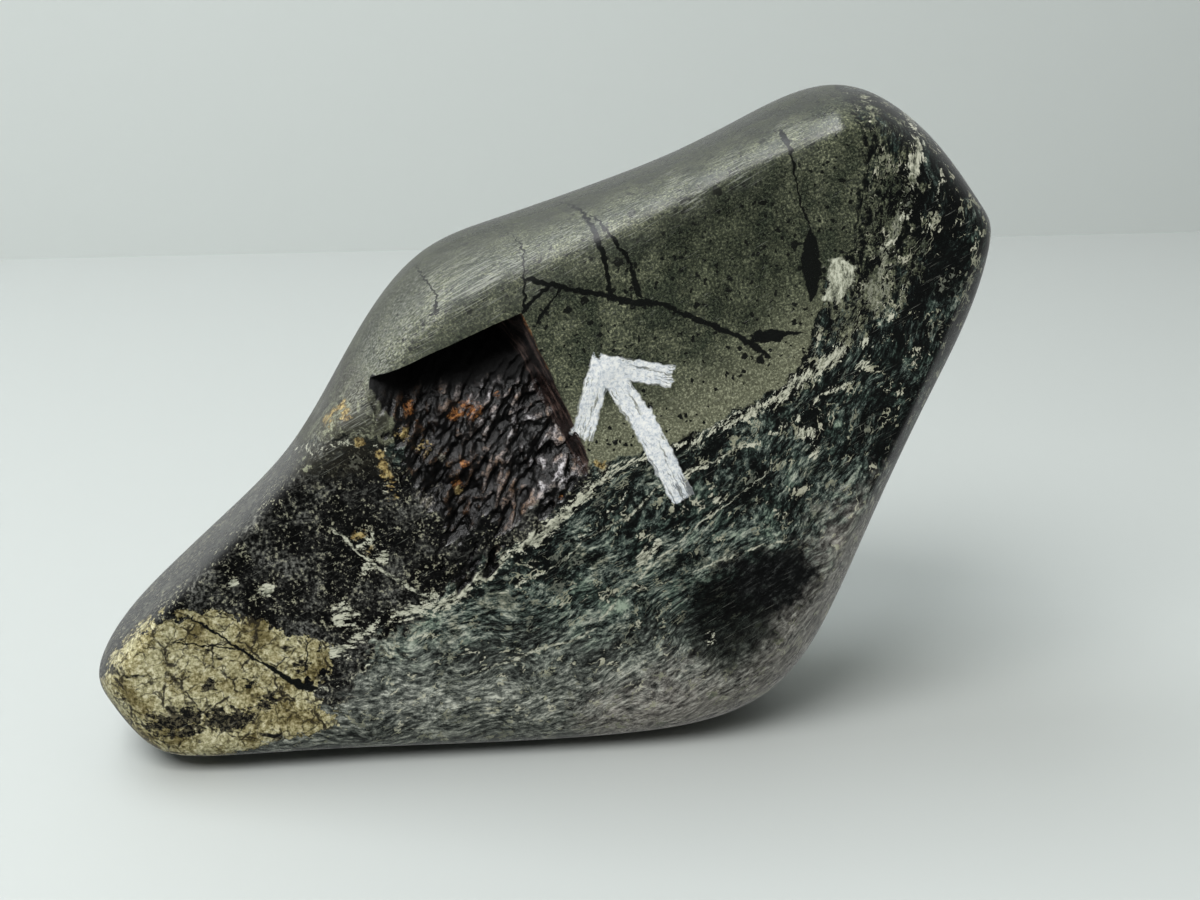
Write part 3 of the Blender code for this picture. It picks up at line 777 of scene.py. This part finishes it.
def breakTone(rock):
    # The weathered break: iron-stained near-black varnish, painted highlights as lilac-grey glints on the
    # crests, mostly towards the right, painted shade in the pits and a painted shadow under the ledge, and
    # maroon on the side wall
    tone = put("ValToRGB", {0: rock["grain"]}, ramp="break")
    glint = put("ValToRGB", {0: rock["grain"]}, ramp="glint")
    wall = put("Attribute wall", {}, out="Fac")
    crest = put("Attribute crest", {}, out="Fac")
    crest = put("Math MULTIPLY_ADD", {0: rock["ragged"], 1: 0.5, 2: crest})
    # painted highlight: lilac-grey glints on the crests, mostly towards the right
    lit = put("MapRange", {0: crest, 1: 0.09, 2: 0.27}, **eased)
    right = put("MapRange", {0: wall, 1: 14.0, 2: 7.0, 3: 0.30, 4: 1.0})
    left = put("MapRange", {0: wall, 1: 7.0, 2: 14.0})
    lit = put("Math MULTIPLY", {0: lit, 1: right})
    # painted shade: the pits between the crests go black
    pitShade = put("MapRange", {0: crest, 1: 0.08, 2: -0.06, 4: 0.95}, **eased)
    brown = put("MapRange", {0: rock["cloud"], 1: 0.46, 2: 0.60, 4: 0.9})
    rust = put("ValToRGB", {0: rock["grain"]}, ramp="rust")
    ash = put("ValToRGB", {0: rock["grain"]}, ramp="ash")
    low = put("Math MULTIPLY", {0: rock["height"], 1: 0.12})
    lines = put("CombineXYZ", {"X": wall, "Y": low})
    lines = put("TexNoise", {"Vector": lines, "Scale": 2.6, "Detail": 3.0, "Roughness": 0.7})
    lines = put("ValToRGB", {0: lines}, ramp="wall")
    onWall = put("Math MULTIPLY_ADD", {0: rock["ragged"], 1: 1.2, 2: wall})
    rim = put("MapRange", {0: onWall, 1: 0.65, 2: 0.35, 4: 0.7}, **eased)
    onWall = put("MapRange", {0: onWall, 1: 2.7, 2: 2.2}, **eased)
    return layered(
        tone,
        (glint, lit),
        ("#020202", pitShade),
        ("#c7a582", brown, "MULTIPLY"),
        ("#a98a68", left, "MULTIPLY"),
        (ash, spotMask(rock, "ash", 0.45, 0.95, 5.0)),
        (rust, spotMask(rock, "rust", 0.40, 0.90, 4.5)),
        # painted shadow under the ledge
        ("#010101", rock["shade"]),
        (lines, onWall),
        (rust, rim),
    )


def paintMask(rock):
    # White marker strokes on the face: dense in the middle, streaked lengthwise and broken at their ends
    whole = put("Math LESS_THAN", {0: rock["front"], 1: strata["front"]})
    strayed = put("Mix", {0: 0.75, 4: rock["place"], 5: rock["strayed"]}, out=1, data_type="VECTOR")
    paint = None
    for (ax, az), (bx, bz), width in arrow["strokes"]:
        length = math.hypot(bx - ax, bz - az)
        dx, dz = (bx - ax) / length, (bz - az) / length
        start = put("VectorMath SUBTRACT", {0: strayed, 1: (ax, 0.0, az)})
        along = put("VectorMath DOT_PRODUCT", {0: start, 1: (dx, 0.0, dz)}, out="Value")
        aside = put("VectorMath DOT_PRODUCT", {0: start, 1: (-dz, 0.0, dx)}, out="Value")
        streak = put("CombineXYZ", {"X": put("Math MULTIPLY", {0: along, 1: 0.25}),
                                    "Y": put("Math MULTIPLY", {0: aside, 1: 3.4})})
        streak = put("TexNoise", {"Vector": streak, "Scale": 1.0, "Detail": 3.0, "Roughness": 0.65})
        thin = put("MapRange", {0: along, 1: 0.15 * length, 2: length, 3: 0.37, 4: 0.48})
        streak = put("Math SUBTRACT", {0: streak, 1: thin})
        solid = put("MapRange", {0: streak, 1: -0.03, 2: 0.03, 3: 0.25, 4: 1.0})
        aside = put("Math ABSOLUTE", {0: aside})
        side = put("MapRange", {0: aside, 1: 0.5 * width + 0.10, 2: 0.5 * width - 0.10})
        uneven = put("Math MULTIPLY_ADD", {0: rock["ragged"], 1: 3.0, 2: along})
        first = put("MapRange", {0: uneven, 1: -0.1, 2: 0.1})
        last = put("MapRange", {0: uneven, 1: length + 0.1, 2: length - 0.1})
        mask = put("Math MULTIPLY", {0: side, 1: first})
        mask = put("Math MULTIPLY", {0: mask, 1: last})
        mask = put("Math MULTIPLY", {0: mask, 1: solid})
        paint = mask if paint is None else put("Math MAXIMUM", {0: paint, 1: mask})
    return put("Math MULTIPLY", {0: paint, 1: whole})


def polishedRock():
    # Ground and polished metamorphic rock: a low even gloss over a mottled body, IOR about 1.55.
    # Where the stone is broken open, the same rock is rough under a dark varnish.
    material = bpy.data.materials.new("polishedLayeredRock")
    startTree(material)
    rock = rockPattern()

    # The kinds of rock that lie under the olive rock
    foot = put("Math MULTIPLY_ADD", {0: rock["ragged"], 1: 14.0, 2: rock["height"]})
    foot = put("MapRange", {0: foot, 1: 19.0, 2: 8.0}, **eased)
    corner = put("ValToRGB", {0: rock["drawn"]}, ramp="brown")
    blotch = put("ValToRGB", {0: rock["drawn"]}, ramp="black")
    cream = put("ValToRGB", {0: rock["drawn"]}, ramp="cream")
    pale = put("ValToRGB", {0: rock["cloud"]}, ramp="strand")
    patch = put("Math MULTIPLY_ADD", {0: rock["ragged"], 1: 8.0, 2: rock["front"]})
    patch = put("MapRange", {0: patch, 1: -9.6, 2: -10.2}, **eased)
    patch = put("Math MULTIPLY", {0: zoneMask(rock, "tan", 7.0, 0.12), 1: patch})
    tone = layered(
        greenBand(rock),
        (lowerBand(rock), foot),
        (corner, zoneMask(rock, "brown", 16.0, 5.0)),
        (pale, strandMask(rock)),
        ("#5f6462", zoneMask(rock, "shadow", 8.0, 1.6), "MULTIPLY"),
        (blotch, zoneMask(rock, "black", 10.0, 1.5)),
        (graphiteRock(rock), zoneMask(rock, "graphite", 9.0, 0.6)),
        (cream, veinMask(rock, "above", 1.0, 1.5, 0.0, 0.30)),
        (cream, veinMask(rock, "above", 0.35, 3.0, 3.2, 0.44)),
        (cream, spotMask(rock, "pale", 0.62, 0.90, 7.0)),
        (tanRock(rock), patch),
    )

    # The olive rock, with its dust and painted sheen on the roll, wear, veins and scratches
    olive = oliveRock(rock)
    mottled = put("MapRange", {0: rock["drawn"], 1: 0.47, 2: 0.55}, **eased)
    mottled = put("Math MULTIPLY", {0: mottled, 1: zoneMask(rock, "mottled", 20.0, 0.6)})
    scuffed = put("Attribute scuffed", {}, out="Fac")
    # dust and painted sheen: a pale layer on the roll, fading onto the face and stronger to the left
    dustAndSheen = put("MapRange", {0: scuffed, 1: 0.01, 2: 0.4, 4: 0.13})
    rubbed = put("MapRange", {0: scuffed, 1: 0.5, 2: 1.1, 3: 1.0, 4: 0.1})
    dustAndSheen = put("Math MULTIPLY", {0: dustAndSheen, 1: rubbed})
    leftward = put("MapRange", {0: rock["side"], 1: -6.0, 2: 18.0, 3: 1.0, 4: 0.4})
    dustAndSheen = put("Math MULTIPLY", {0: dustAndSheen, 1: leftward})
    bite = put("MapRange", {0: scuffed, 1: 0.0, 2: 1.2, 3: 0.65, 4: 0.46})
    bite = put("Math SUBTRACT", {0: rock["scratch"], 1: bite})
    bite = put("MapRange", {0: bite, 1: 0.0, 2: 0.16, 4: 0.44})
    worn = put("Math MULTIPLY_ADD", {0: rock["ragged"], 1: 0.7, 2: rock["drawn"]})
    worn = put("MapRange", {0: worn, 1: 0.41, 2: 0.50, 4: 0.85}, **eased)
    worn = put("Math MULTIPLY", {0: worn, 1: zoneMask(rock, "worn", 6.0, 1.2)})
    lowDown = put("MapRange", {0: rock["height"], 1: 50.0, 2: 45.0})
    tone = layered(
        tone,
        (olive, mottled),
        (olive, zoneMask(rock, "olive", 3.0, 0.2)),
        ("#8f9182", dustAndSheen),
        ("#25231c", worn),
        ("#0c100c", veinMask(rock, "olive", 0.20, 3.0, 0.05, 0.36)),
        (cream, put("Math MULTIPLY", {0: veinMask(rock, "olive", 0.26, 3.0, 0.55, 0.40), 1: lowDown})),
        ("#83856f", veinMask(rock, "olive", 0.24, 4.0, 1.9, 0.44)),
        (put("ValToRGB", {0: rock["drawn"]}, ramp="quartz"), zoneMask(rock, "quartz", 4.0, 0.2)),
        ("#b8baae", bite),
    )

    # The break, and on top of all the cracks, strands and paint
    sunk = put("Attribute sunk", {}, out="Fac")
    broken = put("Math MULTIPLY_ADD", {0: rock["ragged"], 1: 0.5, 2: sunk})
    broken = put("MapRange", {0: broken, 1: 0.06, 2: 0.30}, **eased)
    ochre = put("ValToRGB", {0: rock["grain"]}, ramp="ochre")
    tone = layered(tone, (breakTone(rock), broken), (ochre, spotMask(rock, "ochre", 0.40, 0.85, 7.0)))
    for crack in cracks:
        tone = layered(tone, ("#0a0d0a", lineMask(rock, crack)))
    gap = put("MapRange", {0: rock["drawn"], 1: 0.42, 2: 0.50, 4: 0.9})
    for strand in strands:
        shown = put("Math MULTIPLY", {0: gap, 1: lineMask(rock, strand)})
        tone = layered(tone, (cream, shown))
    paint = paintMask(rock)
    white = put("ValToRGB", {0: rock["grain"]}, ramp="paint")
    tone = layered(tone, (white, paint))

    # Gloss on the polish, satin on the worn roll, dull paint and a fine relief that is deeper in the break
    gloss = put("MapRange", {0: rock["cloud"], 1: 0.3, 2: 0.7, 3: 0.20, 4: 0.34})
    satin = put("MapRange", {0: scuffed, 1: 0.1, 2: 1.0, 4: 0.9})
    gloss = put("Mix", {0: satin, 2: gloss, 3: 0.60})
    varnish = put("MapRange", {0: rock["shade"], 3: 0.27, 4: 0.80})
    gloss = put("Mix", {0: broken, 2: gloss, 3: varnish})
    gloss = put("Mix", {0: paint, 2: gloss, 3: 0.55})
    pits = put("TexNoise", {"Vector": rock["place"], "Scale": 3.0, "Detail": 3.0, "Roughness": 0.75})
    depth = put("MapRange", {0: sunk, 1: 0.05, 2: 0.4, 3: 0.2, 4: 1.0})
    pits = put("Math MULTIPLY", {0: pits, 1: depth})
    relief = put("Math MULTIPLY_ADD", {0: rock["scratch"], 1: 0.14, 2: pits})
    relief = put("Bump", {"Height": relief, "Distance": 0.0003, "Strength": 0.6})
    shader = put("BsdfPrincipled", {"Base Color": tone, "Roughness": gloss, "IOR": 1.55, "Normal": relief})
    put("OutputMaterial", {"Surface": shader})
    return material


def plainPaint(name, tone):
    # Matt paint: an even tone that hardly shines
    material = bpy.data.materials.new(name)
    startTree(material)
    shader = put("BsdfPrincipled", {"Base Color": tone, "Roughness": stage["roughness"]})
    put("OutputMaterial", {"Surface": shader})
    return material


# The plain stage: a pale floor and a pale wall behind it, in millimetres
stage = {
    "floorFront": -900.0, "wallAt": 262.0, "half": 1600.0, "wallHeight": 1500.0,
    "floorTone": "#bcc0bd", "wallTone": "#d1d6d3", "roughness": 0.6,
}


def makeStage():
    floorHalf = (stage["wallAt"] - stage["floorFront"]) / 2
    floorMiddle = (stage["wallAt"] + stage["floorFront"]) / 2
    wallHalf = stage["wallHeight"] / 2
    for name, half, place, turn, tone in (
        ("floor", floorHalf, (0.0, floorMiddle, 0.0), 0.0, stage["floorTone"]),
        ("backWall", wallHalf, (0.0, stage["wallAt"], wallHalf), math.pi / 2, stage["wallTone"]),
    ):
        deselectAll()
        place = [value * mm for value in place]
        bpy.ops.mesh.primitive_plane_add(size=2.0, location=place, rotation=(turn, 0.0, 0.0))
        sheet = bpy.context.object
        sheet.name = name
        sheet.scale = (stage["half"] * mm, half * mm, 1.0)
        bpy.ops.object.transform_apply(location=True, rotation=True, scale=True)
        sheet.data.materials.append(plainPaint(name + "Paint", tone))
        sheet.visible_glossy = False  # the polish mirrors the room instead


# Soft studio light: place, aim and size in millimetres, power in watts, and colour
lights = {
    "frontSoftbox": ((-240.0, -350.0, 580.0), (0.0, 0.0, 30.0), 380.0, 4.9, "#ffffff"),
    "backSoftbox": ((-250.0, 150.0, 600.0), (0.0, 20.0, 0.0), 400.0, 2.7, "#f6fbff"),
}


# The room round the stage: how bright it is towards the front and the back, and where the camera sees it
room = {"tone": "#f2f6f4", "front": 0.10, "back": 0.55, "seen": 0.62}


def makeLights():
    for name, (place, aim, size, power, tone) in lights.items():
        lamp = bpy.data.lights.new(name, "AREA")
        lamp.shape = "SQUARE"
        lamp.size = size * mm
        lamp.energy = power
        lamp.color = linear(tone)[:3]
        holder = bpy.data.objects.new(name, lamp)
        bpy.context.scene.collection.objects.link(holder)
        holder.location = Vector(place) * mm
        holder.rotation_euler = (Vector(aim) - Vector(place)).to_track_quat("-Z", "Y").to_euler()
    world = bpy.data.worlds.new("paleRoom")
    bpy.context.scene.world = world
    startTree(world)
    # The room is pale behind the stone and dark towards its lower front
    toward = put("TexCoord", {}, out="Generated")
    back = put("SeparateXYZ", {0: toward}, out="Y")
    up = put("SeparateXYZ", {0: toward}, out="Z")
    strength = put("MapRange", {0: back, 1: -0.7, 2: 0.3, 3: room["front"], 4: room["back"]})
    below = put("MapRange", {0: up, 1: -0.8, 2: -0.2, 3: 0.3, 4: 1.0})
    strength = put("Math MULTIPLY", {0: strength, 1: below})
    seen = put("LightPath", {}, out="Is Camera Ray")  # the room itself looks pale all round
    strength = put("Mix", {0: seen, 2: strength, 3: room["seen"]})
    shell = put("Background", {"Color": room["tone"], "Strength": strength})
    put("OutputWorld", {"Surface": shell})


def makeCamera():
    lens = bpy.data.cameras.new("camera")
    lens.lens, lens.sensor_width = view["lens"], view["sensor"]
    lens.clip_start, lens.clip_end = view["clipStart"] * mm, view["clipEnd"] * mm
    camera = bpy.data.objects.new("camera", lens)
    bpy.context.scene.collection.objects.link(camera)
    camera.location = Vector(view["place"]) * mm
    camera.rotation_euler = (math.radians(view["tilt"]), 0.0, math.radians(view["turn"]))
    bpy.context.scene.camera = camera


makeCamera()
makeStage()
makeLights()
bpy.context.scene.view_settings.view_transform = "Standard"
print("stage, lights and camera made")

stone = makeStone()
softenRoll(stone)
cutHollow(stone, polishedRock())
grindFlat(stone)
pick(stone)
bpy.ops.object.shade_smooth_by_angle(angle=math.radians(form["shadeAngle"]))
print("stone made:", len(stone.data.polygons), "faces")

markRock(stone)
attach(stone, "root")
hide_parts("viewing_stone")
print("rock marked")
